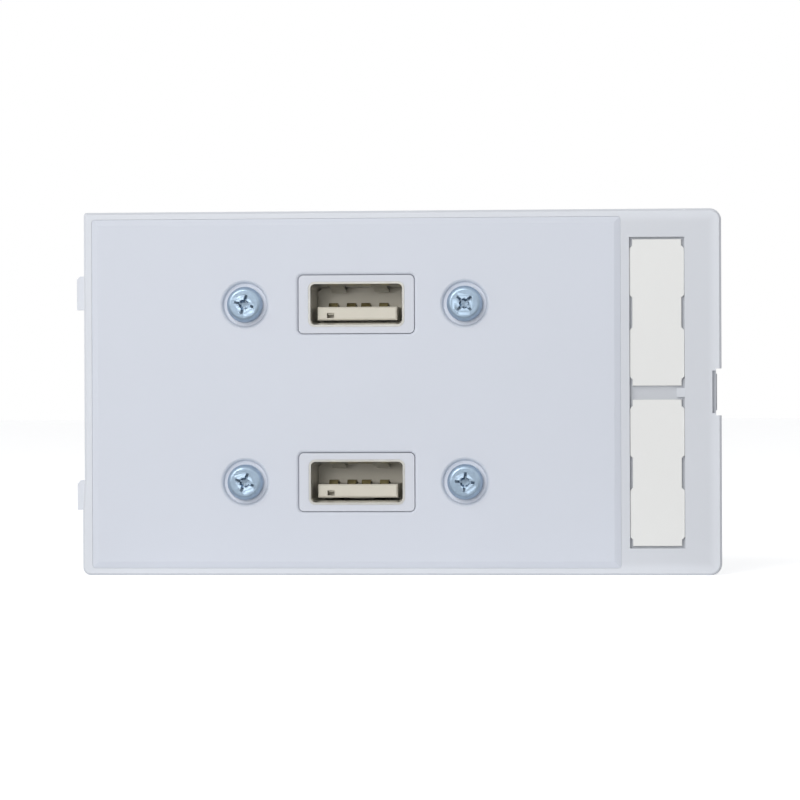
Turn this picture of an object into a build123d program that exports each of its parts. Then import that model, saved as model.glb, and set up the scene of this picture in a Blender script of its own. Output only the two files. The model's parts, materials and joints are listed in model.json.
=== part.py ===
from build123d import *
import os

os.makedirs("parts", exist_ok=True)

# A panel insert with two USB couplers. Millimetres, X to the right, Z up, Y into the panel.
# The origin is the centre of the panel cut-out, in the plane that the flange seats on.

# Flange of the carrier frame
flange_width = 87.6
flange_height = 50.0
flange_thickness = 2.5
flange_edge_chamfer = 0.3
corner_top_left = 0.4
corner_bottom_left = 1.1
corner_right = 1.6
left_edge_swell = 0.25

# Bay for the face plate: the rim round it, and the flange right of it with the marker slot
side_rim = 1.1
level_rim = 1.0
marker_border = 13.7
ledge_width = 3.0
bay_corner = 0.4

# Skirt that goes into the panel
skirt_inset = 1.3
skirt_wall = 1.6
skirt_depth = 10.0
skirt_corner = 1.2
cross_wall_inset = 0.9
cut_margin = 1.0

# What holds the frame in the panel
panel_thickness = 1.5
panel_play = 0.1
hook_reach = 1.15
hook_thickness = 1.3
hook_corner = 0.45
upper_hook_height = 4.65
lower_hook_height = 4.1
hook_centre = 13.95
latch_arm_height = 5.0
latch_slot = 0.9
latch_reach = 0.7
latch_length = 3.0
release_notch_depth = 0.75
release_notch_height = 6.4
ledge_step = 0.5
ledge_height = 5.8
ledge_below_face = 1.2
ledge_relief = 0.3

# Face plate
plate_thickness = 1.5
plate_proud = 0.2
plate_gap = 0.02
plate_bevel_width = 0.85
plate_bevel_depth = 0.25
window_width = 16.0
window_height = 8.1
window_corner = 0.7
collar_wall = 1.2
screw_boss_wall = 1.4
boss_floor = 2.3
clip_width = 6.0
clip_thickness = 1.2
clip_barb = 0.8
clip_barb_length = 2.0
clip_play = 0.08
clip_inset = 9.0

# Marker slot and its two strips
slot_width = 7.5
slot_depth = 0.8
slot_from_right = 8.75
slot_inset = 3.77
slot_drop = 0.08
slot_end_gap = 0.3
label_spacing = 1.88
label_thickness = 0.6
label_play = 0.02
label_narrowing = 0.38
label_shoulder = 0.34
label_end_length = 0.9
label_notch_length = 4.1
label_edge = 0.08
stop_width = 1.1
stop_height = 1.25
stop_below_face = 0.2

# Coupler body
coupler_pitch = 24.4
screw_pitch = 30.25
socket_shift = 0.22
nose_play = 0.06
nose_recess = 0.15
ear_wall = 1.9
ear_corner = 2.0
ear_thickness = 3.0
insert_boss_floor = 0.8
barrel_side_wall = 1.93
barrel_level_wall = 2.02
barrel_corner = 1.2
link_space = 4.0

# Screws and threaded inserts
screw_radius = 1.25
screw_length = 6.0
screw_hole_play = 0.2
head_radius = 2.45
head_height = 1.9
head_edge_height = 0.8
head_round = 1.0
head_crown_inset = 0.33
head_crown_drop = 0.385
cross_span = 3.3
cross_blade = 1.0
cross_depth = 1.25
cross_draft = 10.0
counterbore_play = 0.75
counterbore_depth = 0.6
counterbore_draft = 25.0
insert_wall = 0.8
insert_length = 4.8
thread_play = 0.02

# Socket: folded shell, insulator and contacts
mouth_width = 12.5
mouth_height = 5.12
mouth_corner = 0.6
sheet = 0.3
shell_depth = 14.0
side_flare = 0.07
level_flare = 0.24
flare_depth = 0.6
spring_spacing = 6.0
spring_width = 2.0
spring_length = 7.0
spring_start = 2.0
spring_root = 0.4
spring_bend = 1.6
spring_tip_gap = 0.3
spring_tip_share = 0.33
top_spring_drop = 0.75
bottom_spring_drop = 0.22
spring_slot = 0.35
pocket_depth = 0.6
tongue_side_gap = 0.77
tongue_edge = 0.2
tongue_thickness = 1.84
tongue_height_in_mouth = 0.4
tongue_setback = 1.6
block_start = 9.6
key_recess_width = 1.0
key_recess_height = 0.7
key_recess_depth = 0.6
key_recess_from_centre = 3.7
key_recess_above_edge = 0.3
groove_start = 2.4
tip_pocket_length = 3.4
tip_pocket_depth = 1.1
contact_thickness = 0.25
contact_width = 1.25
outer_contact_spacing = 7.0
inner_contact_spacing = 2.0
contact_crest = 0.58
contact_tip_gap = 0.4
contact_tip_drop = 0.6
contact_rise_length = 0.9
contact_crest_length = 1.3
contact_fall_length = 2.8
tail_length = 1.7
board_thickness = 1.0
board_side_gap = 0.75
board_grip = 1.0
fit_play = 0.02

# Places that follow from the sizes above
flange_front = -flange_thickness
plate_front = flange_front - plate_proud
plate_back = plate_front + plate_thickness
bay_width = flange_width - side_rim - marker_border
bay_height = flange_height - 2 * level_rim
plate_width = bay_width - 2 * plate_gap
plate_height = bay_height - 2 * plate_gap
plate_x = -flange_width / 2 + side_rim + bay_width / 2
socket_x = plate_x + socket_shift
opening_width = bay_width - 2 * ledge_width
opening_height = bay_height - 2 * ledge_width
opening_right = plate_x + opening_width / 2
skirt_width = flange_width - 2 * skirt_inset
skirt_height = flange_height - 2 * skirt_inset
catch_front = panel_thickness + panel_play
slot_x = flange_width / 2 - slot_from_right
slot_height = flange_height - 2 * slot_inset
slot_floor = flange_front + slot_depth
label_length = slot_height / 2 - slot_end_gap - label_spacing / 2
screw_hole_radius = screw_radius + screw_hole_play
counterbore_radius = head_radius + counterbore_play
insert_radius = screw_radius + insert_wall
ear_front = plate_front + counterbore_depth + boss_floor
nose_front = plate_front + nose_recess
nose_length = ear_front - nose_front
coupler_length = 2 * shell_depth + link_space
tunnel_width = mouth_width + 2 * (sheet + fit_play)
tunnel_height = mouth_height + 2 * (sheet + fit_play)
tongue_top = -mouth_height / 2 + tongue_height_in_mouth + tongue_thickness
contact_tip = groove_start + contact_tip_gap
contact_places = [
    -outer_contact_spacing / 2,
    -inner_contact_spacing / 2,
    inner_contact_spacing / 2,
    outer_contact_spacing / 2,
]
coupler_heights = {"upper": coupler_pitch / 2, "lower": -coupler_pitch / 2}
screw_sides = {"left": -screw_pitch / 2, "right": screw_pitch / 2}
cross_turns = {
    ("upper", "left"): 15,
    ("upper", "right"): 45,
    ("lower", "left"): 20,
    ("lower", "right"): 5,
}


def slab(outline, front, back):
    """Solid of an outline drawn in X and Z, from y = front to y = back."""
    return extrude(Plane.XZ.offset(-back) * outline, back - front)


def block(left, right, front, back, bottom, top):
    """Box between its six faces."""
    centre = Pos((left + right) / 2, (front + back) / 2, (bottom + top) / 2)
    return centre * Box(right - left, back - front, top - bottom)


def rod(radius, front, back):
    """Cylinder along Y."""
    return slab(Circle(radius), front, back)


def sunk(outline, front, depth, draft):
    """Solid that sinks from y = front and narrows by its draft."""
    plane = Plane((0, front, 0), x_dir=(1, 0, 0), z_dir=(0, 1, 0))
    return extrude(plane * outline, depth, taper=draft)


def rounded(width, height, corner):
    """Outline of a rectangle with round corners."""
    return RectangleRounded(width, height, corner)


def strip(points, thickness, width):
    """Sheet strip that follows points in Y and Z, its thickness laid on the upper side."""
    profile = make_face(offset(Polyline(*points), thickness, kind=Kind.INTERSECTION, side=Side.LEFT))
    return extrude(Plane.YZ * profile, width / 2, both=True)


def flange_outline():
    """Front outline of the flange, a little wider along its lower left edge."""
    half_width = flange_width / 2
    half_height = flange_height / 2
    swell_start = -hook_centre + lower_hook_height / 2
    swell_end = -hook_centre - lower_hook_height / 2
    outline = FilletPolyline(
        (-half_width, half_height),
        (half_width, half_height),
        (half_width, -half_height),
        (-half_width - left_edge_swell, -half_height),
        (-half_width - left_edge_swell, swell_end),
        (-half_width, swell_start),
        radius=[corner_top_left, corner_right, corner_right, corner_bottom_left, 0, 0],
        close=True,
    )
    return make_face(outline)


def edge_hook(centre, height):
    """Hook on the left edge of the flange, the upper corner of its tip taken off."""
    root = -flange_width / 2 + side_rim / 2
    tip = -flange_width / 2 - hook_reach
    low = centre - height / 2
    high = centre + height / 2
    cut = hook_corner
    corners = [(root, low), (tip, low), (tip, high - cut), (tip + cut, high), (root, high)]
    return slab(make_face(Polyline(*corners, close=True)), -hook_thickness, 0)


def latch_cuts():
    """Two slots that free the latch arm from the right side of the skirt."""
    arm_half = latch_arm_height / 2
    inner = skirt_width / 2 - skirt_wall - cut_margin
    outer = skirt_width / 2 + cut_margin
    cuts = []
    for side in (-1, 1):
        near = side * arm_half
        far = side * (arm_half + latch_slot)
        cuts.append(block(inner, outer, 0, skirt_depth, min(near, far), max(near, far)))
    return cuts


def latch_nib():
    """Catch on the latch arm: flat towards the panel, sloped towards its free end."""
    face = skirt_width / 2
    profile = make_face(
        Polyline(
            (face - skirt_wall / 2, catch_front),
            (face + latch_reach, catch_front),
            (face + latch_reach, catch_front + latch_reach),
            (face, catch_front + latch_length),
            (face - skirt_wall / 2, catch_front + latch_length),
            close=True,
        )
    )
    return extrude(profile, latch_arm_height / 2, both=True)


def release_notch():
    """Notch in the right edge, a ledge sunk beside it, and a relief that frees the latch behind."""
    edge = flange_width / 2
    floor = edge - release_notch_depth
    half = release_notch_height / 2
    step_half = ledge_height / 2
    notch = block(floor, edge, flange_front, 0, -half, half)
    step = block(floor - ledge_step, edge, flange_front, flange_front + ledge_below_face, -step_half, step_half)
    relief = block(skirt_width / 2, edge, -ledge_relief, 0, -half, half)
    return [notch, step, relief]


def marker_stop():
    """Small stop that keeps the two marker strips apart."""
    right = slot_x + slot_width / 2
    front = flange_front + stop_below_face
    low = -slot_drop - stop_height / 2
    return block(right - stop_width, right, front, slot_floor, low, low + stop_height)


def carrier_frame():
    flange = slab(flange_outline(), flange_front, 0)
    flange = chamfer(flange.faces().sort_by(Axis.Y)[0].edges(), flange_edge_chamfer)
    bay = slab(Pos(plate_x, 0) * rounded(bay_width, bay_height, bay_corner), flange_front, plate_back)
    opening = slab(Pos(plate_x, 0) * Rectangle(opening_width, opening_height), plate_back, 0)
    slot = slab(Pos(slot_x, -slot_drop) * Rectangle(slot_width, slot_height), flange_front, slot_floor)
    ring = rounded(skirt_width, skirt_height, skirt_corner)
    ring -= Rectangle(skirt_width - 2 * skirt_wall, skirt_height - 2 * skirt_wall)
    skirt = slab(ring, 0, skirt_depth)
    for cut in latch_cuts():
        skirt -= cut
    wall_left = opening_right + cross_wall_inset
    wall_half = skirt_height / 2 - skirt_wall / 2
    cross_wall = block(wall_left, wall_left + skirt_wall, 0, skirt_depth, -wall_half, wall_half)
    frame = flange - bay - opening - slot
    for cut in release_notch():
        frame -= cut
    frame += [skirt, cross_wall, marker_stop(), latch_nib()]
    frame += edge_hook(hook_centre, upper_hook_height)
    frame += edge_hook(-hook_centre, lower_hook_height)
    return frame


def plate_clip(place, side):
    """Arm with a barb that snaps behind the ledge of the bay."""
    outer = opening_height / 2 - plate_gap
    barb_front = clip_play
    barb_back = barb_front + clip_barb_length
    profile = make_face(
        Polyline(
            (plate_back, outer - clip_thickness),
            (plate_back, outer),
            (barb_front, outer),
            (barb_front, outer + clip_barb),
            (barb_back, outer),
            (barb_back, outer - clip_thickness),
            close=True,
        )
    )
    clip = extrude(Plane.YZ * profile, clip_width / 2, both=True)
    if side < 0:
        clip = mirror(clip, Plane.XY)
    return Pos(place, 0, 0) * clip


def face_plate():
    plate = slab(Rectangle(plate_width, plate_height), plate_front, plate_back)
    front_edges = plate.faces().sort_by(Axis.Y)[0].edges()
    plate = chamfer(front_edges, plate_bevel_depth, plate_bevel_width)
    plate &= slab(rounded(plate_width, plate_height, bay_corner - plate_gap), plate_front, plate_back)
    for height in coupler_heights.values():
        collar = Rectangle(window_width + 2 * collar_wall, window_height + 2 * collar_wall)
        plate += slab(Pos(socket_shift, height) * collar, plate_back, ear_front)
        boss_side = 2 * (counterbore_radius + screw_boss_wall)
        for place in screw_sides.values():
            boss = Pos(place, height) * Rectangle(boss_side, boss_side)
            plate += slab(boss, plate_back, ear_front)
    for height in coupler_heights.values():
        window = rounded(window_width, window_height, window_corner)
        plate -= slab(Pos(socket_shift, height) * window, plate_front, ear_front)
        for place in screw_sides.values():
            hole = rod(screw_hole_radius, plate_front, ear_front)
            dish = sunk(Circle(counterbore_radius), plate_front, counterbore_depth, counterbore_draft)
            plate -= Pos(place, 0, height) * hole
            plate -= Pos(place, 0, height) * dish
    for place in (-plate_width / 2 + clip_inset, plate_width / 2 - clip_inset):
        for side in (-1, 1):
            plate += plate_clip(place, side)
    return Pos(plate_x, 0, 0) * plate


def label(centre):
    """Marker strip: narrow at both ends and at the middle of each side."""
    wide = slot_width - 2 * label_play
    tab_length = label_length / 2 - label_end_length - label_notch_length / 2
    tab_centre = label_notch_length / 2 + tab_length / 2
    outline = Rectangle(wide - 2 * label_narrowing, label_length)
    tab = Rectangle(wide, tab_length)
    tab = chamfer(tab.vertices(), label_shoulder)
    for side in (-1, 1):
        outline += Pos(0, side * tab_centre) * tab
    front = slot_floor - label_thickness
    strip_body = slab(outline, front, slot_floor)
    strip_body = chamfer(strip_body.faces().sort_by(Axis.Y)[0].edges(), label_edge)
    return Pos(slot_x, 0, centre - slot_drop) * strip_body


def screw(turn):
    """Pan head screw with a cross recess, its head seat at y = 0."""
    profile = make_face(
        Polyline(
            (0, 0),
            (head_radius, 0),
            (head_radius, -head_edge_height),
            (head_radius - head_crown_inset, head_crown_drop - head_height),
            (head_radius - head_round, -head_height),
            (0, -head_height),
            close=True,
        )
    )
    head = revolve(profile, Axis.Y)
    shank = rod(screw_radius, 0, screw_length)
    cross = Rectangle(cross_span, cross_blade) + Rectangle(cross_blade, cross_span)
    recess = sunk(cross, -head_height, cross_depth, cross_draft)
    return head + shank - Rot(0, turn, 0) * recess


def threaded_insert():
    """Brass bush for the screw, its front end at y = 0."""
    bush = rod(insert_radius, 0, insert_length)
    return bush - rod(screw_radius + thread_play, 0, insert_length)


def flared_mouth(margin):
    """Solid that fills the flared front of a shell, grown all round by a margin."""
    width = mouth_width + 2 * margin
    height = mouth_height + 2 * margin
    corner = mouth_corner + margin
    wide = Plane.XZ * rounded(width + 2 * side_flare, height + 2 * level_flare, corner)
    narrow = Plane.XZ.offset(-flare_depth) * rounded(width, height, corner)
    return loft([wide.face(), narrow.face()], ruled=True)


def shell_cavity():
    """Room for a shell in the coupler body: the flare, then the tunnel."""
    tunnel = slab(Rectangle(tunnel_width, tunnel_height), flare_depth, shell_depth + fit_play)
    return tunnel + flared_mouth(sheet + fit_play)


def spring_places():
    """Placement of each spring finger of a shell and its drop into the mouth."""
    places = []
    for across in (-spring_spacing / 2, spring_spacing / 2):
        wall = Pos(across, 0, mouth_height / 2)
        places.append((wall, top_spring_drop))
        places.append((Rot(0, 180, 0) * wall, bottom_spring_drop))
    return places


def spring_finger(drop):
    """Finger that slopes into the mouth and turns back out at its tip, the wall at z = 0."""
    end = spring_start + spring_length
    points = [
        (spring_start - spring_root, 0),
        (spring_start, 0),
        (end - spring_bend, -drop),
        (end - spring_tip_gap, -drop * spring_tip_share),
    ]
    return strip(points, sheet, spring_width)


def shell():
    outside = rounded(mouth_width + 2 * sheet, mouth_height + 2 * sheet, mouth_corner + sheet)
    folded = slab(outside - rounded(mouth_width, mouth_height, mouth_corner), flare_depth, shell_depth)
    folded += flared_mouth(sheet) - flared_mouth(0)
    half = spring_width / 2 + spring_slot
    end = spring_start + spring_length
    window = block(-half, half, spring_start, end, -cut_margin, sheet + cut_margin)
    for place, drop in spring_places():
        folded -= place * window
        folded += place * spring_finger(drop)
    return folded


def insulator():
    width = mouth_width - 2 * fit_play
    height = mouth_height - 2 * fit_play
    section = Rectangle(width, height)
    section = chamfer(section.vertices(), mouth_corner)
    body = slab(section, block_start, shell_depth)
    tongue_low = tongue_top - tongue_thickness
    half = mouth_width / 2 - tongue_side_gap
    tongue = block(-half, half, tongue_setback, block_start, tongue_low, tongue_top)
    tongue = chamfer(tongue.faces().sort_by(Axis.Y)[0].edges(), tongue_edge)
    body += tongue
    groove_half = contact_width / 2 + fit_play
    groove_floor = tongue_top - contact_thickness - fit_play
    pocket_floor = tongue_top - tip_pocket_depth
    pocket_end = groove_start + tip_pocket_length
    for place in contact_places:
        left = place - groove_half
        right = place + groove_half
        body -= block(left, right, groove_start, shell_depth, groove_floor, tongue_top + fit_play)
        body -= block(left, right, groove_start, pocket_end, pocket_floor, tongue_top)
    board_half = mouth_width / 2 - board_side_gap + fit_play
    board_top = groove_floor
    board_low = board_top - board_thickness - 2 * fit_play
    body -= block(-board_half, board_half, shell_depth - board_grip, shell_depth, board_low, board_top)
    recess_half = key_recess_width / 2
    recess_low = tongue_low + key_recess_above_edge
    recess = block(-recess_half, recess_half, tongue_setback, tongue_setback + key_recess_depth,
                   recess_low, recess_low + key_recess_height)
    body -= Pos(-key_recess_from_centre, 0, 0) * recess
    return body


def contact():
    """Contact strip: tip in the tongue, crest above it, then back through the block to the board."""
    run = tongue_top - contact_thickness
    crest = run + contact_crest
    crest_start = contact_tip + contact_rise_length
    crest_end = crest_start + contact_crest_length
    points = [
        (contact_tip, run - contact_tip_drop),
        (crest_start, crest),
        (crest_end, crest),
        (crest_end + contact_fall_length, run),
        (shell_depth + tail_length, run),
    ]
    return strip(points, contact_thickness, contact_width)


def link_board():
    """Board that joins the tails of the front and the rear contacts."""
    top = tongue_top - contact_thickness - fit_play
    front = shell_depth - board_grip + fit_play
    back = shell_depth + link_space + board_grip - fit_play
    half = mouth_width / 2 - board_side_gap
    return block(-half, half, front, back, top - board_thickness, top)


def coupler_body():
    """Moulded body round both sockets, with the front mouth at y = 0."""
    window_play = 2 * nose_play
    nose_outline = rounded(window_width - window_play, window_height - window_play, window_corner - nose_play)
    body = slab(nose_outline, 0, nose_length)
    ear_side = 2 * (insert_radius + ear_wall)
    ears = Rectangle(screw_pitch + ear_side, ear_side)
    ears = Pos(-socket_shift, 0) * chamfer(ears.vertices(), ear_corner)
    barrel_width = tunnel_width + 2 * barrel_side_wall
    barrel_height = tunnel_height + 2 * barrel_level_wall
    barrel = rounded(barrel_width, barrel_height, barrel_corner)
    body += slab(ears, nose_length, nose_length + ear_thickness)
    body += slab(barrel, nose_length, coupler_length)
    boss = chamfer(Rectangle(ear_side, ear_side).vertices(), ear_corner)
    hole_end = nose_length + insert_length + fit_play
    for side in screw_sides.values():
        body += slab(Pos(side - socket_shift, 0) * boss, nose_length, hole_end + insert_boss_floor)
    for side in screw_sides.values():
        body -= Pos(side - socket_shift, 0, 0) * rod(insert_radius + fit_play, nose_length, hole_end)
    to_rear = Pos(0, coupler_length, 0) * Rot(0, 0, 180)
    half = spring_width / 2 + spring_slot
    pocket = block(-half, half, spring_start, spring_start + spring_length, 0, sheet + pocket_depth)
    for place in (Pos(0, 0, 0), to_rear):
        body -= place * shell_cavity()
        for spring, _ in spring_places():
            body -= place * spring * pocket
    body -= slab(Rectangle(mouth_width, mouth_height), shell_depth, shell_depth + link_space)
    return body


def save(shape, name):
    export_step(shape, f"parts/{name}.step")


save(carrier_frame(), "carrier_frame")
save(face_plate(), "face_plate")

label_centre = (label_length + label_spacing) / 2
save(label(label_centre), "upper_label")
save(label(-label_centre), "lower_label")

body_shape = coupler_body()
shell_shape = shell()
insulator_shape = insulator()
contact_shape = contact()
board_shape = link_board()
insert_shape = threaded_insert()

for row, height in coupler_heights.items():
    front_place = Pos(socket_x, nose_front, height)
    rear_place = Pos(socket_x, nose_front + coupler_length, height) * Rot(0, 0, 180)
    save(front_place * body_shape, f"{row}_coupler_body")
    save(front_place * board_shape, f"{row}_link_board")
    for end, place in (("front", front_place), ("rear", rear_place)):
        save(place * shell_shape, f"{row}_{end}_shell")
        save(place * insulator_shape, f"{row}_{end}_insulator")
        for number, across in enumerate(contact_places, start=1):
            save(place * Pos(across, 0, 0) * contact_shape, f"{row}_{end}_contact_{number}")
    for side, across in screw_sides.items():
        seat = Pos(plate_x + across, plate_front + counterbore_depth, height)
        save(seat * screw(cross_turns[row, side]), f"{row}_{side}_screw")
        insert_seat = Pos(plate_x + across, ear_front, height)
        save(insert_seat * insert_shape, f"{row}_{side}_threaded_insert")
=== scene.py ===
import json
import math

import bpy
from mathutils import Matrix, Vector


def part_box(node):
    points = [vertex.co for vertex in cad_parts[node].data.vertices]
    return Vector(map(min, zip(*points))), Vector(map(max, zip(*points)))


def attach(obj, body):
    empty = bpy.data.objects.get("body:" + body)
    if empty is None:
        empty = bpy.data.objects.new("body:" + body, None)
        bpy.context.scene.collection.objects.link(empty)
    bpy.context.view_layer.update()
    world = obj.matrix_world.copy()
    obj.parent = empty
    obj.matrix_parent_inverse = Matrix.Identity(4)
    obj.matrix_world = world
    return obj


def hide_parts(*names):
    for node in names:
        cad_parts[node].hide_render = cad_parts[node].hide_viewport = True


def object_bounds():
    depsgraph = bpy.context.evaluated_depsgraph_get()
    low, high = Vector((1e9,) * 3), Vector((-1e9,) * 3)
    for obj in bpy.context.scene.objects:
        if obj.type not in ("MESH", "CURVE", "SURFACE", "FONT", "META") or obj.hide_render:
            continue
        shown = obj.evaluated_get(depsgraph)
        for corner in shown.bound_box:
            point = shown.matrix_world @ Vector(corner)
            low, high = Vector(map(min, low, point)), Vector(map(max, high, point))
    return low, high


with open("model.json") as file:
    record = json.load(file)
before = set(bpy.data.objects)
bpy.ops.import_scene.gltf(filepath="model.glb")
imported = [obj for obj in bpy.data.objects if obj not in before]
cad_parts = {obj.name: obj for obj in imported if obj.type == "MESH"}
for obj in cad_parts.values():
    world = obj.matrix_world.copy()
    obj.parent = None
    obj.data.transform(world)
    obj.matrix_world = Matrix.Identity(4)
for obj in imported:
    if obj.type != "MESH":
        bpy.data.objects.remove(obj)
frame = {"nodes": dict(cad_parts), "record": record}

# A light grey panel insert with two USB couplers, seen from the front on a white ground.
# Metres, X to the right, Z up, Y into the panel.
cad_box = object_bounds()
nodes = frame["nodes"]
MM = 0.001


def srgb(red, green, blue):
    """Linear colour of a shade written in the 0 to 255 scale of a screen."""
    def linear(value):
        value /= 255
        return value / 12.92 if value <= 0.04045 else ((value + 0.055) / 1.055) ** 2.4
    return (linear(red), linear(green), linear(blue), 1.0)


ROWS = ("upper", "lower")
SIDES = ("left", "right")
ENDS = ("front", "rear")

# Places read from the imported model
frame_low, frame_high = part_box("carrier_frame")
PLATE_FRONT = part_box("face_plate")[0].y
FLANGE_FRONT = frame_low.y
PART_BOTTOM = cad_box[0].z

# Camera: the photograph's aim point, on the front of the flange, a little below the middle
PHOTO_WIDTH = 800
PIXELS_PER_MM = 7.30
CAMERA_DISTANCE = 500 * MM
CAMERA_YAW = math.radians(4.5)
CAMERA_ROLL = math.radians(-0.2)
AIM = Vector((-0.1 * MM, FLANGE_FRONT, -0.96 * MM))
SENSOR = 36.0
CLIP_START = 10 * MM
CLIP_END = 20

# Lamps: place, width, height, watts, and whether metal mirrors the lamp
LAMPS = {
    "upper_left_softbox": ((-0.5, -0.8, 0.6), 0.75, 0.65, 4.7, True),
    "front_softbox": ((-0.1, -0.62, 0.08), 0.2, 0.2, 1.45, False),
}

# Surroundings: their even light, and the floor
SURROUND = (0.95, 0.97, 1.0, 1)
SURROUND_LEVEL = 0.25
FLOOR_SIZE = 8
FLOOR_WHITE = (0.97, 0.97, 0.97, 1)
FLOOR_ROUGHNESS = 0.9
FLOOR_SHINE = 0.1
FLOOR_GLOW = 0.7

# Colours
MOULDING_GREY = srgb(219, 222, 228)
PLATE_GREY = srgb(211, 215, 224)
NOSE_GREY = srgb(210, 213, 221)
LABEL_WHITE = srgb(230, 230, 228)
ZINC_BLUE = srgb(179, 200, 220)
NICKEL = srgb(218, 217, 212)
TONGUE_CREAM = srgb(212, 207, 194)
# Gold plating of the contacts, dulled and darkened with painted shade of the socket's inside
CONTACT_GOLD_AND_SHADE = srgb(162, 150, 110)
BRASS = srgb(196, 164, 98)
BOARD_GREEN = srgb(36, 92, 62)

# Widths of the rounded edges
OUTER_EDGE = 0.14 * MM
FINE_EDGE = 0.035 * MM
WINDOW_EDGE = 0.45 * MM
NOSE_EDGE = 0.06 * MM
DISH_EDGE = 0.3 * MM
LABEL_EDGE = 0.03 * MM
TONGUE_EDGE = 0.06 * MM
SHEET_EDGE = 0.06 * MM
CONTACT_EDGE = 0.04 * MM

# Angles in degrees, below which faces are one flat, one curve, or keep their edge
FLAT_ANGLE = 0.5
SCREW_FLAT_ANGLE = 1
PLATE_SMOOTH_ANGLE = 15
SHARP_ANGLE = 25
SMOOTH_ANGLE = 32
BEVEL_ANGLE = 35
SCREW_SMOOTH_ANGLE = 35
FACE_WEIGHT = 100

# Reach of the tests that pick out a rim, and of the cuts round a window
EDGE_REACH = 0.6 * MM
DISH_REACH = 3.6 * MM
MOUTH_MARGIN = 0.4 * MM
FRAMING = 0.7 * MM

# Tolerances
HAIR = 0.02 * MM
LATHE_MERGE = 0.002 * MM
MERGE = 0.0005 * MM
HAIRLINE = 0.0001 * MM

# Noise of the two surfaces
FLOW_SCALE = 45.0
SPECK_SCALE = 900.0
SCRATCH_SCALE = 900.0
SCRATCH_STRETCH = (1.0, 1.0, 14.0)
SCRATCH_TURN = (0.0, 0.6, 0.0)

# Painted light and shade on the frame: darker inside its outer border, so the border reads lit as
# painted light, and darker on the slot's floor as painted shade
BORDER = 0.7 * MM
BORDER_BLEND = 1.3 * MM
INNER_PAINTED_SHADE = 0.09
SLOT_MARGIN = 0.3 * MM
SLOT_PAINTED_SHADE = 0.13

# Window in the face plate round each coupler
WINDOW_WIDTH = 16.0 * MM
WINDOW_HEIGHT = 8.1 * MM

# Key recess in the end of each tongue
KEY_FROM_CENTRE = 3.7 * MM
KEY_HALF_WIDTH = 0.55 * MM
KEY_DEPTH = 0.6 * MM
KEY_SINK = 1.6 * MM

# Pan head screw: crown, side, cross recess and thread
HEAD_SIDE = 0.65 * MM
CROWN_RADIUS = 1.8 * MM
HEAD_ARC_STEPS = 9
LATHE_STEPS = 64
RECESS_SPAN = 3.35 * MM
RECESS_BLADE = 1.0 * MM
RECESS_DEPTH = 1.25 * MM
RECESS_FOOT = 0.55
RECESS_END_ROUND = 0.32 * MM
RECESS_CENTRE = 0.92 * MM
RECESS_CENTRE_SIDES = 8
RECESS_RIM = 0.1 * MM
THREAD_PITCH = 0.45 * MM
THREAD_DEPTH = 0.18 * MM
SHANK_RADIUS = 1.25 * MM
SHANK_TIP = 0.3 * MM
HEAD_HEIGHT = 1.9 * MM
CROSS_TURNS = {"upper_left": 15, "upper_right": 45, "lower_left": 20, "lower_right": 5}


def add_socket(group, name, direction, kind, value=None):
    socket = group.interface.new_socket(name=name, in_out=direction, socket_type=kind)
    if value is not None:
        socket.default_value = value


def link(tree, start, end):
    tree.links.new(start, end)


def math_node(tree, operation, first, second):
    node = tree.nodes.new("ShaderNodeMath")
    node.operation = operation
    for socket, value in zip(node.inputs, (first, second)):
        if isinstance(value, (int, float)):
            socket.default_value = value
        else:
            link(tree, value, socket)
    return node.outputs[0]


def noise_node(tree, vector, scale, detail):
    node = tree.nodes.new("ShaderNodeTexNoise")
    link(tree, vector, node.inputs["Vector"])
    if isinstance(scale, (int, float)):
        node.inputs["Scale"].default_value = scale
    else:
        link(tree, scale, node.inputs["Scale"])
    node.inputs["Detail"].default_value = detail
    return node.outputs["Fac"]


def darken(tree, colour, amount, mask):
    """The colour, darkened by an amount where the mask is high."""
    share = math_node(tree, "MULTIPLY", mask, amount)
    mix = tree.nodes.new("ShaderNodeMix")
    mix.data_type = "RGBA"
    mix.blend_type = "MULTIPLY"
    link(tree, share, mix.inputs["Factor"])
    link(tree, colour, mix.inputs["A"])
    mix.inputs["B"].default_value = (0.0, 0.0, 0.0, 1)
    return mix.outputs["Result"]


def uneven_gloss(group, given, mask):
    """The given roughness, spread to both sides by a mask."""
    centred = math_node(group, "SUBTRACT", mask, 0.5)
    spread = math_node(group, "MULTIPLY", centred, given["Gloss Spread"])
    return math_node(group, "ADD", given["Roughness"], spread)


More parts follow.
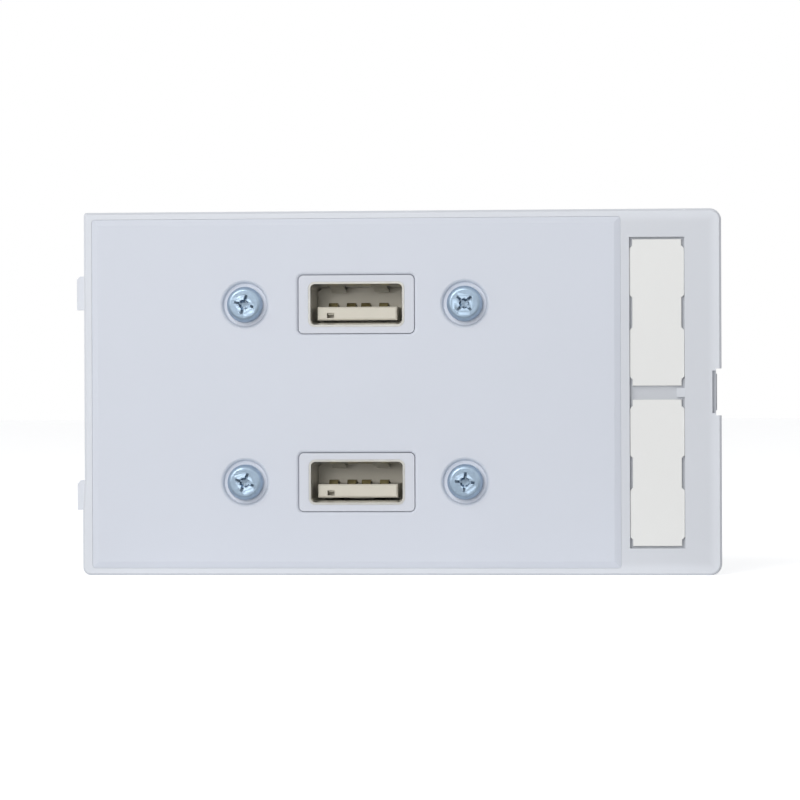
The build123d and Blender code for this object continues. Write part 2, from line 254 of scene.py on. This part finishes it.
def make_moulded_surface():
    """Spark-eroded grain, slow tone drift and uneven gloss of an injection moulding, and painted
    shade that darkens the colour where a material sets it.
    """
    group = bpy.data.node_groups.new("moulded_surface", "ShaderNodeTree")
    add_socket(group, "Vector", "INPUT", "NodeSocketVector")
    add_socket(group, "Colour", "INPUT", "NodeSocketColor", (0.8, 0.8, 0.8, 1))
    add_socket(group, "Grain Scale", "INPUT", "NodeSocketFloat", 5000.0)
    add_socket(group, "Tone Drift", "INPUT", "NodeSocketFloat", 0.05)
    add_socket(group, "Roughness", "INPUT", "NodeSocketFloat", 0.45)
    add_socket(group, "Gloss Spread", "INPUT", "NodeSocketFloat", 0.1)
    # Painted shade: darkens the colour where a material sets it, nought leaves the moulding's own
    # colour
    add_socket(group, "Painted Shade", "INPUT", "NodeSocketFloat", 0.0)
    add_socket(group, "Colour", "OUTPUT", "NodeSocketColor")
    add_socket(group, "Roughness", "OUTPUT", "NodeSocketFloat")
    add_socket(group, "Height", "OUTPUT", "NodeSocketFloat")
    given = group.nodes.new("NodeGroupInput").outputs
    result = group.nodes.new("NodeGroupOutput").inputs
    grain = noise_node(group, given["Vector"], given["Grain Scale"], 3.0)
    flow = noise_node(group, given["Vector"], FLOW_SCALE, 2.0)
    speck = noise_node(group, given["Vector"], SPECK_SCALE, 4.0)
    drifted = darken(group, given["Colour"], given["Tone Drift"], flow)
    # Painted shade, laid over the drifted colour
    link(group, darken(group, drifted, 1.0, given["Painted Shade"]), result["Colour"])
    link(group, uneven_gloss(group, given, speck), result["Roughness"])
    link(group, grain, result["Height"])
    return group


def make_plated_metal():
    """Clouded plating with fine handling scratches."""
    group = bpy.data.node_groups.new("plated_metal", "ShaderNodeTree")
    add_socket(group, "Vector", "INPUT", "NodeSocketVector")
    add_socket(group, "Colour", "INPUT", "NodeSocketColor", (0.8, 0.8, 0.8, 1))
    add_socket(group, "Cloud Scale", "INPUT", "NodeSocketFloat", 700.0)
    add_socket(group, "Clouding", "INPUT", "NodeSocketFloat", 0.3)
    add_socket(group, "Roughness", "INPUT", "NodeSocketFloat", 0.25)
    add_socket(group, "Gloss Spread", "INPUT", "NodeSocketFloat", 0.2)
    add_socket(group, "Colour", "OUTPUT", "NodeSocketColor")
    add_socket(group, "Roughness", "OUTPUT", "NodeSocketFloat")
    add_socket(group, "Height", "OUTPUT", "NodeSocketFloat")
    given = group.nodes.new("NodeGroupInput").outputs
    result = group.nodes.new("NodeGroupOutput").inputs
    cloud = noise_node(group, given["Vector"], given["Cloud Scale"], 4.0)
    stretch = group.nodes.new("ShaderNodeMapping")
    stretch.inputs["Scale"].default_value = SCRATCH_STRETCH
    stretch.inputs["Rotation"].default_value = SCRATCH_TURN
    link(group, given["Vector"], stretch.inputs["Vector"])
    scratch = noise_node(group, stretch.outputs["Vector"], SCRATCH_SCALE, 3.0)
    link(group, darken(group, given["Colour"], given["Clouding"], cloud), result["Colour"])
    link(group, uneven_gloss(group, given, cloud), result["Roughness"])
    link(group, scratch, result["Height"])
    return group


moulded_surface = make_moulded_surface()
plated_metal = make_plated_metal()


def dressed_material(name, surface, colour, values, bump_depth, metallic=0.0):
    """Material whose colour, roughness and bump come from one of the shared surfaces."""
    material = bpy.data.materials.new(name)
    material.use_nodes = True
    tree = material.node_tree
    shader = tree.nodes["Principled BSDF"]
    place = tree.nodes.new("ShaderNodeTexCoord")
    finish = tree.nodes.new("ShaderNodeGroup")
    finish.node_tree = surface
    link(tree, place.outputs["Object"], finish.inputs["Vector"])
    finish.inputs["Colour"].default_value = colour
    for socket, value in values.items():
        finish.inputs[socket].default_value = value
    link(tree, finish.outputs["Colour"], shader.inputs["Base Color"])
    link(tree, finish.outputs["Roughness"], shader.inputs["Roughness"])
    bump = tree.nodes.new("ShaderNodeBump")
    bump.inputs["Strength"].default_value = 1.0
    bump.inputs["Distance"].default_value = bump_depth
    link(tree, finish.outputs["Height"], bump.inputs["Height"])
    link(tree, bump.outputs["Normal"], shader.inputs["Normal"])
    shader.inputs["Metallic"].default_value = metallic
    return material


def moulding(name, colour, roughness, grain_scale=5000.0, drift=0.04, depth=0.004 * MM):
    values = {
        "Grain Scale": grain_scale,
        "Tone Drift": drift,
        "Roughness": roughness,
        "Gloss Spread": 0.12,
    }
    return dressed_material(name, moulded_surface, colour, values, depth)


def plating(name, colour, roughness, cloud_scale=700.0, clouding=0.3, depth=0.002 * MM):
    values = {
        "Cloud Scale": cloud_scale,
        "Clouding": clouding,
        "Roughness": roughness,
        "Gloss Spread": 0.2,
    }
    return dressed_material(name, plated_metal, colour, values, depth, metallic=1.0)


materials = {
    "frame_plastic": moulding("frame_plastic", MOULDING_GREY, roughness=0.55),
    "plate_plastic": moulding("plate_plastic", PLATE_GREY, roughness=0.55),
    "label_plastic": moulding(
        "label_plastic", LABEL_WHITE, roughness=0.6, grain_scale=3000.0, drift=0.02
    ),
    "coupler_plastic": moulding("coupler_plastic", NOSE_GREY, roughness=0.55),
    "insulator_plastic": moulding(
        "insulator_plastic", TONGUE_CREAM, roughness=0.4, grain_scale=7000.0, drift=0.08
    ),
    "zinc_steel": plating(
        "zinc_steel", ZINC_BLUE, roughness=0.32, cloud_scale=1400.0, clouding=0.35, depth=0.03 * MM
    ),
    "shell_steel": plating("shell_steel", NICKEL, roughness=0.36, clouding=0.2),
    "contact_metal": plating("contact_metal", CONTACT_GOLD_AND_SHADE, roughness=0.22, clouding=0.15),
    "insert_brass": plating("insert_brass", BRASS, roughness=0.35),
    "board_laminate": moulding(
        "board_laminate", BOARD_GREEN, roughness=0.35, grain_scale=2500.0, drift=0.2
    ),
}


def between(tree, value, low, high):
    """One where the value lies between two limits, nought elsewhere."""
    above = math_node(tree, "GREATER_THAN", value, low)
    return math_node(tree, "MULTIPLY", above, math_node(tree, "LESS_THAN", value, high))


def inside_edge(tree, value, edge):
    """How far inside the border a place is, along one axis."""
    return math_node(tree, "SUBTRACT", edge - BORDER, math_node(tree, "ABSOLUTE", value, 0.0))


def paint_light_and_shade_on_frame(material):
    """Painted light and shade: darkens the field inside the frame's outer border, so the border
    reads lighter, and paints shade on the floor of the marker slot.
    """
    tree = material.node_tree
    place = next(node for node in tree.nodes if node.type == "TEX_COORD")
    finish = next(node for node in tree.nodes if node.type == "GROUP")
    parts = tree.nodes.new("ShaderNodeSeparateXYZ")
    link(tree, place.outputs["Object"], parts.inputs[0])
    x, y, z = (parts.outputs[axis] for axis in "XYZ")

    # Painted light along the outer border, made by darkening the field inside it
    off_sides = inside_edge(tree, x, frame_high.x)
    off_ends = inside_edge(tree, z, frame_high.z)
    nearest = math_node(tree, "MINIMUM", off_sides, off_ends)
    ramp = tree.nodes.new("ShaderNodeMapRange")
    ramp.interpolation_type = "SMOOTHSTEP"
    link(tree, nearest, ramp.inputs["Value"])
    ramp.inputs["From Max"].default_value = BORDER_BLEND
    painted_inner_shade = math_node(tree, "MULTIPLY", ramp.outputs["Result"], INNER_PAINTED_SHADE)

    # Painted shade on the floor of the marker slot, behind the labels
    low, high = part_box("upper_label")
    depth = between(tree, y, FLANGE_FRONT + SLOT_MARGIN, high.y + SLOT_MARGIN)
    across = between(tree, x, low.x - SLOT_MARGIN, high.x + SLOT_MARGIN)
    in_slot = math_node(tree, "MULTIPLY", depth, across)
    floor = math_node(tree, "MULTIPLY", in_slot, SLOT_PAINTED_SHADE)
    # Both painted marks go into the surface's painted shade input
    link(tree, math_node(tree, "ADD", painted_inner_shade, floor), finish.inputs["Painted Shade"])


paint_light_and_shade_on_frame(materials["frame_plastic"])
slot_of = {piece["node"]: piece["material_slot"] for piece in frame["record"]["subparts"]}


def only(obj):
    """Selects one object alone and makes it active."""
    bpy.ops.object.select_all(action="DESELECT")
    obj.select_set(True)
    bpy.context.view_layer.objects.active = obj


def finish_piece(obj, node):
    """Gives a piece its material and body, and lets it stand for its node."""
    slot = slot_of[node]
    obj.data.materials.clear()
    obj.data.materials.append(materials[slot])
    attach(obj, "root")
    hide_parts(node)


def round_edges(obj, chosen, width, segments, clamped=True):
    """Rounds the edges that a test on their two ends picks out."""
    only(obj)
    bpy.ops.object.mode_set(mode="EDIT")
    bpy.ops.mesh.select_mode(type="EDGE")
    bpy.ops.mesh.select_all(action="DESELECT")
    bpy.ops.mesh.edges_select_sharp(sharpness=math.radians(SHARP_ANGLE))
    bpy.ops.object.mode_set(mode="OBJECT")
    points = obj.data.vertices
    for edge in obj.data.edges:
        if edge.select:
            edge.select = chosen(points[edge.vertices[0]].co, points[edge.vertices[1]].co)
    bpy.ops.object.mode_set(mode="EDIT")
    bpy.ops.mesh.bevel(
        offset=width,
        offset_type="OFFSET",
        segments=segments,
        affect="EDGES",
        clamp_overlap=clamped,
        loop_slide=False,
    )
    bpy.ops.object.mode_set(mode="OBJECT")


def part_front(obj, front, across, levels):
    """Parts a piece's front face along upright and level lines. Its shape stays."""
    cuts = [((place, 0, 0), (1, 0, 0)) for place in across]
    cuts += [((0, 0, place), (0, 0, 1)) for place in levels]
    for place, normal in cuts:
        only(obj)
        bpy.ops.object.mode_set(mode="EDIT")
        bpy.ops.mesh.select_mode(type="FACE")
        bpy.ops.mesh.select_all(action="DESELECT")
        bpy.ops.object.mode_set(mode="OBJECT")
        points = obj.data.vertices
        for face in obj.data.polygons:
            face.select = all(points[corner].co.y < front + HAIR for corner in face.vertices)
        bpy.ops.object.mode_set(mode="EDIT")
        bpy.ops.mesh.bisect(plane_co=place, plane_no=normal, threshold=HAIRLINE)
        bpy.ops.object.mode_set(mode="OBJECT")


def even_shading(obj, angle):
    """Smooth shading over the rounded edges that leaves the flat faces flat."""
    only(obj)
    bpy.ops.object.shade_smooth_by_angle(angle=math.radians(angle))
    weights = obj.modifiers.new("even_shading", "WEIGHTED_NORMAL")
    weights.keep_sharp = True
    weights.weight = FACE_WEIGHT
    bpy.ops.object.modifier_apply(modifier=weights.name)


def softened(node, name, width, segments=3, shape=None, angle=SMOOTH_ANGLE):
    """A merged copy of a node's mesh with rounded edges, in the node's own place."""
    source = nodes[node]
    obj = bpy.data.objects.new(name, source.data.copy())
    bpy.context.scene.collection.objects.link(obj)
    only(obj)
    bpy.ops.object.mode_set(mode="EDIT")
    bpy.ops.mesh.select_all(action="SELECT")
    bpy.ops.mesh.remove_doubles(threshold=MERGE)
    bpy.ops.mesh.dissolve_limited(angle_limit=math.radians(FLAT_ANGLE))
    bpy.ops.object.mode_set(mode="OBJECT")
    if obj.data.has_custom_normals:
        bpy.ops.mesh.customdata_custom_splitnormals_clear()
    if shape:
        shape(obj)
    only(obj)
    bevel = obj.modifiers.new("rounded_edges", "BEVEL")
    bevel.width = width
    bevel.segments = segments
    bevel.limit_method = "ANGLE"
    bevel.angle_limit = math.radians(BEVEL_ANGLE)
    bevel.miter_outer = "MITER_ARC"
    bevel.loop_slide = False
    bpy.ops.object.modifier_apply(modifier=bevel.name)
    even_shading(obj, angle)
    finish_piece(obj, node)
    return obj


def socket_centre(row):
    low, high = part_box(row + "_front_shell")
    return (low + high) / 2


def screw_centre(row, side):
    low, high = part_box(f"{row}_{side}_screw")
    return (low + high) / 2


def in_window(point, row):
    centre = socket_centre(row)
    across = abs(point.x - centre.x) < WINDOW_WIDTH / 2 + HAIR
    return across and abs(point.z - centre.z) < WINDOW_HEIGHT / 2 + HAIR


def in_dish(point, row, side):
    centre = screw_centre(row, side)
    return math.hypot(point.x - centre.x, point.z - centre.z) < DISH_REACH


def shape_plate(plate):
    """Rounds the front rims of the windows, and a little the rims of the screw dishes."""
    def on_front(one, two):
        return max(one.y, two.y) < PLATE_FRONT + HAIR

    def window_rim(one, two):
        return on_front(one, two) and any(
            in_window(one, row) and in_window(two, row) for row in ROWS
        )

    def dish_rim(one, two):
        return on_front(one, two) and any(
            in_dish(one, row, side) and in_dish(two, row, side) for row in ROWS for side in SIDES
        )

    half_width = WINDOW_WIDTH / 2 + FRAMING
    half_height = WINDOW_HEIGHT / 2 + FRAMING
    middle = socket_centre("upper").x
    across = [middle - half_width, middle, middle + half_width]
    offsets = (-half_height, half_height)
    levels = [socket_centre(row).z + offset for row in ROWS for offset in offsets]
    part_front(plate, PLATE_FRONT, across, levels)
    round_edges(plate, window_rim, WINDOW_EDGE, segments=8, clamped=False)
    round_edges(plate, dish_rim, DISH_EDGE, segments=4)


def shape_frame(flange):
    """Rounds the right, top and bottom edges of the flange in front of its seat."""
    right = frame_high.x - EDGE_REACH
    low = frame_low.z + EDGE_REACH
    high = frame_high.z - EDGE_REACH

    def outer(point):
        return point.x > right or point.z < low or point.z > high

    def outer_rim(one, two):
        return max(one.y, two.y) < -HAIR and outer(one) and outer(two)

    round_edges(flange, outer_rim, OUTER_EDGE, segments=4)


def shape_tongue(row, end):
    """Sinks the floor of the small key recess in the end of a tongue."""
    centre = socket_centre(row)
    low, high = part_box(f"{row}_{end}_insulator")
    inward = 1 if end == "front" else -1
    face = low.y if end == "front" else high.y

    def shape(tongue):
        only(tongue)
        bpy.ops.object.mode_set(mode="EDIT")
        bpy.ops.mesh.select_mode(type="VERT")
        bpy.ops.mesh.select_all(action="DESELECT")
        bpy.ops.object.mode_set(mode="OBJECT")
        for point in tongue.data.vertices:
            depth = (point.co.y - face) * inward
            in_recess = abs(abs(point.co.x - centre.x) - KEY_FROM_CENTRE) < KEY_HALF_WIDTH
            point.select = in_recess and abs(depth - KEY_DEPTH) < HAIR and point.co.z < centre.z
        bpy.ops.object.mode_set(mode="EDIT")
        bpy.ops.transform.translate(value=(0, inward * KEY_SINK, 0))
        bpy.ops.object.mode_set(mode="OBJECT")
    return shape


def shape_nose(row):
    """Rounds the front edge of a coupler's nose, and leaves its mouth sharp."""
    low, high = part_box(row + "_front_shell")

    def near_mouth(point):
        across = low.x - MOUTH_MARGIN < point.x < high.x + MOUTH_MARGIN
        return across and low.z - MOUTH_MARGIN < point.z < high.z + MOUTH_MARGIN

    def nose_rim(one, two):
        in_front = max(one.y, two.y) <= low.y + HAIR
        return in_front and not near_mouth(one) and not near_mouth(two)

    return lambda body: round_edges(body, nose_rim, NOSE_EDGE, segments=5)


def lathe(name, points):
    """Closed solid turned about the Y axis from points given as radius and place along the axis."""
    bpy.ops.object.select_all(action="DESELECT")
    bpy.ops.mesh.primitive_plane_add(size=MM, location=(0, 0, 0))
    obj = bpy.context.object
    obj.name = name
    bpy.ops.object.mode_set(mode="EDIT")
    bpy.ops.mesh.select_mode(type="VERT")
    bpy.ops.mesh.select_all(action="SELECT")
    bpy.ops.mesh.merge(type="CENTER")
    place = Vector((0, 0, 0))
    for index, (radius, along) in enumerate(points):
        there = Vector((radius, along, 0))
        if index == 0:
            bpy.ops.transform.translate(value=there - place)
        else:
            bpy.ops.mesh.extrude_region_move(TRANSFORM_OT_translate={"value": there - place})
        place = there
    bpy.ops.mesh.select_all(action="SELECT")
    bpy.ops.mesh.spin(steps=LATHE_STEPS, angle=math.tau, center=(0, 0, 0), axis=(0, 1, 0))
    bpy.ops.mesh.select_all(action="SELECT")
    bpy.ops.mesh.remove_doubles(threshold=LATHE_MERGE)
    bpy.ops.mesh.normals_make_consistent(inside=False)
    bpy.ops.object.mode_set(mode="OBJECT")
    return obj


def screw_outline(head_radius, length):
    """From the tip of the shank over the threads and the head to the middle of the crown."""
    root = SHANK_RADIUS - THREAD_DEPTH
    points = [(0, length), (root, length)]
    along = length - SHANK_TIP
    while along > THREAD_PITCH:
        points.append((SHANK_RADIUS, along))
        points.append((root, along - THREAD_PITCH / 2))
        along -= THREAD_PITCH
    points.append((SHANK_RADIUS, 0))
    points.append((head_radius, 0))
    for step in range(HEAD_ARC_STEPS + 1):
        angle = step / HEAD_ARC_STEPS * math.pi / 2
        radius = CROWN_RADIUS + (head_radius - CROWN_RADIUS) * math.cos(angle)
        points.append((radius, -HEAD_SIDE - (HEAD_HEIGHT - HEAD_SIDE) * math.sin(angle)))
    points.append((0, -HEAD_HEIGHT))
    return points


def recess_arm(turn):
    """Blade with round ends that narrows into the head, for one arm of the cross recess."""
    middle = RECESS_DEPTH / 2 - HEAD_HEIGHT
    bpy.ops.object.select_all(action="DESELECT")
    bpy.ops.mesh.primitive_cube_add(size=1, location=(0, 0, 0))
    arm = bpy.context.object
    bpy.ops.object.mode_set(mode="EDIT")
    bpy.ops.mesh.select_all(action="SELECT")
    size = (RECESS_SPAN, RECESS_DEPTH, RECESS_BLADE)
    bpy.ops.transform.resize(value=size, center_override=(0, 0, 0))
    bpy.ops.transform.translate(value=(0, middle, 0))
    bpy.ops.object.mode_set(mode="OBJECT")

    def upright(one, two):
        return abs(one.y - two.y) > RECESS_DEPTH / 2

    round_edges(arm, upright, RECESS_END_ROUND, segments=5)
    bpy.ops.object.mode_set(mode="EDIT")
    bpy.ops.mesh.select_mode(type="VERT")
    bpy.ops.mesh.select_all(action="DESELECT")
    bpy.ops.object.mode_set(mode="OBJECT")
    for point in arm.data.vertices:
        point.select = point.co.y > middle
    bpy.ops.object.mode_set(mode="EDIT")
    bpy.ops.transform.resize(value=(RECESS_FOOT, 1, RECESS_FOOT), center_override=(0, middle, 0))
    bpy.ops.mesh.select_all(action="SELECT")
    bpy.ops.mesh.normals_make_consistent(inside=False)
    bpy.ops.object.mode_set(mode="OBJECT")
    arm.data.transform(Matrix.Rotation(math.radians(turn), 4, "Y"))
    return arm


def recess_centre():
    """Tapered plug that opens the middle of the cross recess."""
    bpy.ops.object.select_all(action="DESELECT")
    bpy.ops.mesh.primitive_cone_add(
        vertices=RECESS_CENTRE_SIDES,
        radius1=RECESS_CENTRE,
        radius2=RECESS_CENTRE * RECESS_FOOT,
        depth=RECESS_DEPTH * 2,
        location=(0, 0, 0),
    )
    plug = bpy.context.object
    upright = Matrix.Rotation(math.radians(-90), 4, "X")
    plug.data.transform(Matrix.Translation((0, -HEAD_HEIGHT, 0)) @ upright)
    return plug


def cut(obj, tool):
    """Takes the tool's shape out of the object."""
    only(obj)
    hollow = obj.modifiers.new("hollow", "BOOLEAN")
    hollow.operation = "DIFFERENCE"
    hollow.solver = "EXACT"
    hollow.object = tool
    bpy.ops.object.modifier_apply(modifier=hollow.name)
    bpy.data.objects.remove(tool, do_unlink=True)


def make_screw():
    """One pan head screw, its head seat at y = 0 and its head towards -Y."""
    low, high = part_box("upper_left_screw")
    head_radius = (high.x - low.x) / 2
    screw = lathe("pan_screw", screw_outline(head_radius, high.y - low.y - HEAD_HEIGHT))
    only(screw)
    bpy.ops.object.mode_set(mode="EDIT")
    bpy.ops.mesh.select_all(action="SELECT")
    bpy.ops.mesh.dissolve_limited(angle_limit=math.radians(SCREW_FLAT_ANGLE))
    bpy.ops.object.mode_set(mode="OBJECT")
    for tool in (recess_arm(0), recess_arm(90), recess_centre()):
        cut(screw, tool)
    reach = RECESS_SPAN / 2 + HAIR

    def on_crown(point):
        return point.y < -HEAD_HEIGHT + HAIR and math.hypot(point.x, point.z) < reach

    def recess_rim(one, two):
        return on_crown(one) and on_crown(two)

    round_edges(screw, recess_rim, RECESS_RIM, segments=3)
    even_shading(screw, SCREW_SMOOTH_ANGLE)
    return screw


def place_screws():
    """A copy of the screw in each of the four dishes, each turned its own way."""
    master = make_screw()
    for row in ROWS:
        for side in SIDES:
            node = f"{row}_{side}_screw"
            low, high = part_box(node)
            centre = (low + high) / 2
            seat = Vector((centre.x, low.y + HEAD_HEIGHT, centre.z))
            piece = bpy.data.objects.new(f"{row}_{side}_pan_screw", master.data.copy())
            bpy.context.scene.collection.objects.link(piece)
            turn = Matrix.Rotation(math.radians(CROSS_TURNS[f"{row}_{side}"]), 4, "Y")
            piece.data.transform(Matrix.Translation(seat) @ turn)
            finish_piece(piece, node)
    bpy.data.objects.remove(master, do_unlink=True)


def dress_nodes():
    """Material for every node that keeps its own shape."""
    for node, obj in nodes.items():
        material = materials[slot_of[node]]
        for slot in obj.material_slots:
            slot.material = material


def make_camera():
    """Camera at the photograph's angle, distance and scale."""
    data = bpy.data.cameras.new("camera")
    data.sensor_width = SENSOR
    focal_pixels = PIXELS_PER_MM * CAMERA_DISTANCE / MM
    data.lens = focal_pixels * SENSOR / PHOTO_WIDTH
    data.clip_start = CLIP_START
    data.clip_end = CLIP_END
    camera = bpy.data.objects.new("camera", data)
    bpy.context.scene.collection.objects.link(camera)
    back = Vector((math.sin(CAMERA_YAW), -math.cos(CAMERA_YAW), 0))
    level_right = Vector((math.cos(CAMERA_YAW), math.sin(CAMERA_YAW), 0))
    level_up = Vector((0, 0, 1))
    right = level_right * math.cos(CAMERA_ROLL) + level_up * math.sin(CAMERA_ROLL)
    up = level_up * math.cos(CAMERA_ROLL) - level_right * math.sin(CAMERA_ROLL)
    turn = Matrix((right, up, back)).transposed()
    camera.matrix_world = Matrix.Translation(AIM + back * CAMERA_DISTANCE) @ turn.to_4x4()
    bpy.context.scene.camera = camera


def make_lamp(name, place, width, height, power, mirrored):
    """Soft rectangular lamp that faces the middle of the part."""
    data = bpy.data.lights.new(name, "AREA")
    data.shape = "RECTANGLE"
    data.size = width
    data.size_y = height
    data.energy = power
    lamp = bpy.data.objects.new(name, data)
    bpy.context.scene.collection.objects.link(lamp)
    lamp.visible_camera = False
    lamp.visible_glossy = mirrored
    lamp.location = place
    lamp.rotation_euler = (-Vector(place)).to_track_quat("-Z", "Y").to_euler()


def make_lights():
    """A wide soft lamp at the upper left, and one in front that reaches into the sockets."""
    for name, (place, width, height, power, mirrored) in LAMPS.items():
        make_lamp(name, place, width, height, power, mirrored)


def make_world():
    """White to the eye and in reflections, and a plain even level as light."""
    world = bpy.data.worlds.new("studio")
    bpy.context.scene.world = world
    world.use_nodes = True
    tree = world.node_tree
    tree.nodes.clear()
    light = tree.nodes.new("ShaderNodeBackground")
    light.inputs["Color"].default_value = SURROUND
    light.inputs["Strength"].default_value = SURROUND_LEVEL
    white = tree.nodes.new("ShaderNodeBackground")
    white.inputs["Color"].default_value = (1, 1, 1, 1)
    white.inputs["Strength"].default_value = 1.0
    path = tree.nodes.new("ShaderNodeLightPath")
    seen = math_node(tree, "MAXIMUM", path.outputs["Is Camera Ray"], path.outputs["Is Glossy Ray"])
    mix = tree.nodes.new("ShaderNodeMixShader")
    out = tree.nodes.new("ShaderNodeOutputWorld")
    link(tree, seen, mix.inputs["Fac"])
    link(tree, light.outputs[0], mix.inputs[1])
    link(tree, white.outputs[0], mix.inputs[2])
    link(tree, mix.outputs[0], out.inputs["Surface"])


def make_floor():
    """White floor under the lowest edge of the part, which keeps the part's soft shadow."""
    bpy.ops.object.select_all(action="DESELECT")
    bpy.ops.mesh.primitive_plane_add(size=FLOOR_SIZE, location=(0, 0, PART_BOTTOM))
    floor = bpy.context.object
    floor.name = "floor"
    material = bpy.data.materials.new("floor_white")
    material.use_nodes = True
    tree = material.node_tree
    shader = tree.nodes["Principled BSDF"]
    shader.inputs["Base Color"].default_value = FLOOR_WHITE
    shader.inputs["Roughness"].default_value = FLOOR_ROUGHNESS
    shader.inputs["Specular IOR Level"].default_value = FLOOR_SHINE
    shader.inputs["Emission Color"].default_value = (1, 1, 1, 1)
    path = tree.nodes.new("ShaderNodeLightPath")
    glow = math_node(tree, "MULTIPLY", path.outputs["Is Camera Ray"], FLOOR_GLOW)
    link(tree, glow, shader.inputs["Emission Strength"])
    floor.data.materials.append(material)


dress_nodes()
softened("carrier_frame", "frame_moulding", FINE_EDGE, shape=shape_frame)
softened(
    "face_plate", "face_plate_moulding", FINE_EDGE, shape=shape_plate, angle=PLATE_SMOOTH_ANGLE
)
for row in ROWS:
    softened(row + "_label", row + "_marker_strip", LABEL_EDGE)
    softened(row + "_coupler_body", row + "_coupler_moulding", FINE_EDGE, shape=shape_nose(row))
    for end in ENDS:
        tongue = f"{row}_{end}_tongue"
        sink = shape_tongue(row, end)
        softened(f"{row}_{end}_insulator", tongue, TONGUE_EDGE, segments=2, shape=sink)
        softened(f"{row}_{end}_shell", f"{row}_{end}_folded_shell", SHEET_EDGE, segments=2)
        for number in range(1, 5):
            contact = f"{row}_{end}_contact_{number}"
            softened(contact, f"{row}_{end}_spring_contact_{number}", CONTACT_EDGE, segments=2)
place_screws()

make_camera()
make_lights()
make_world()
make_floor()

bpy.context.scene.view_settings.view_transform = "Standard"
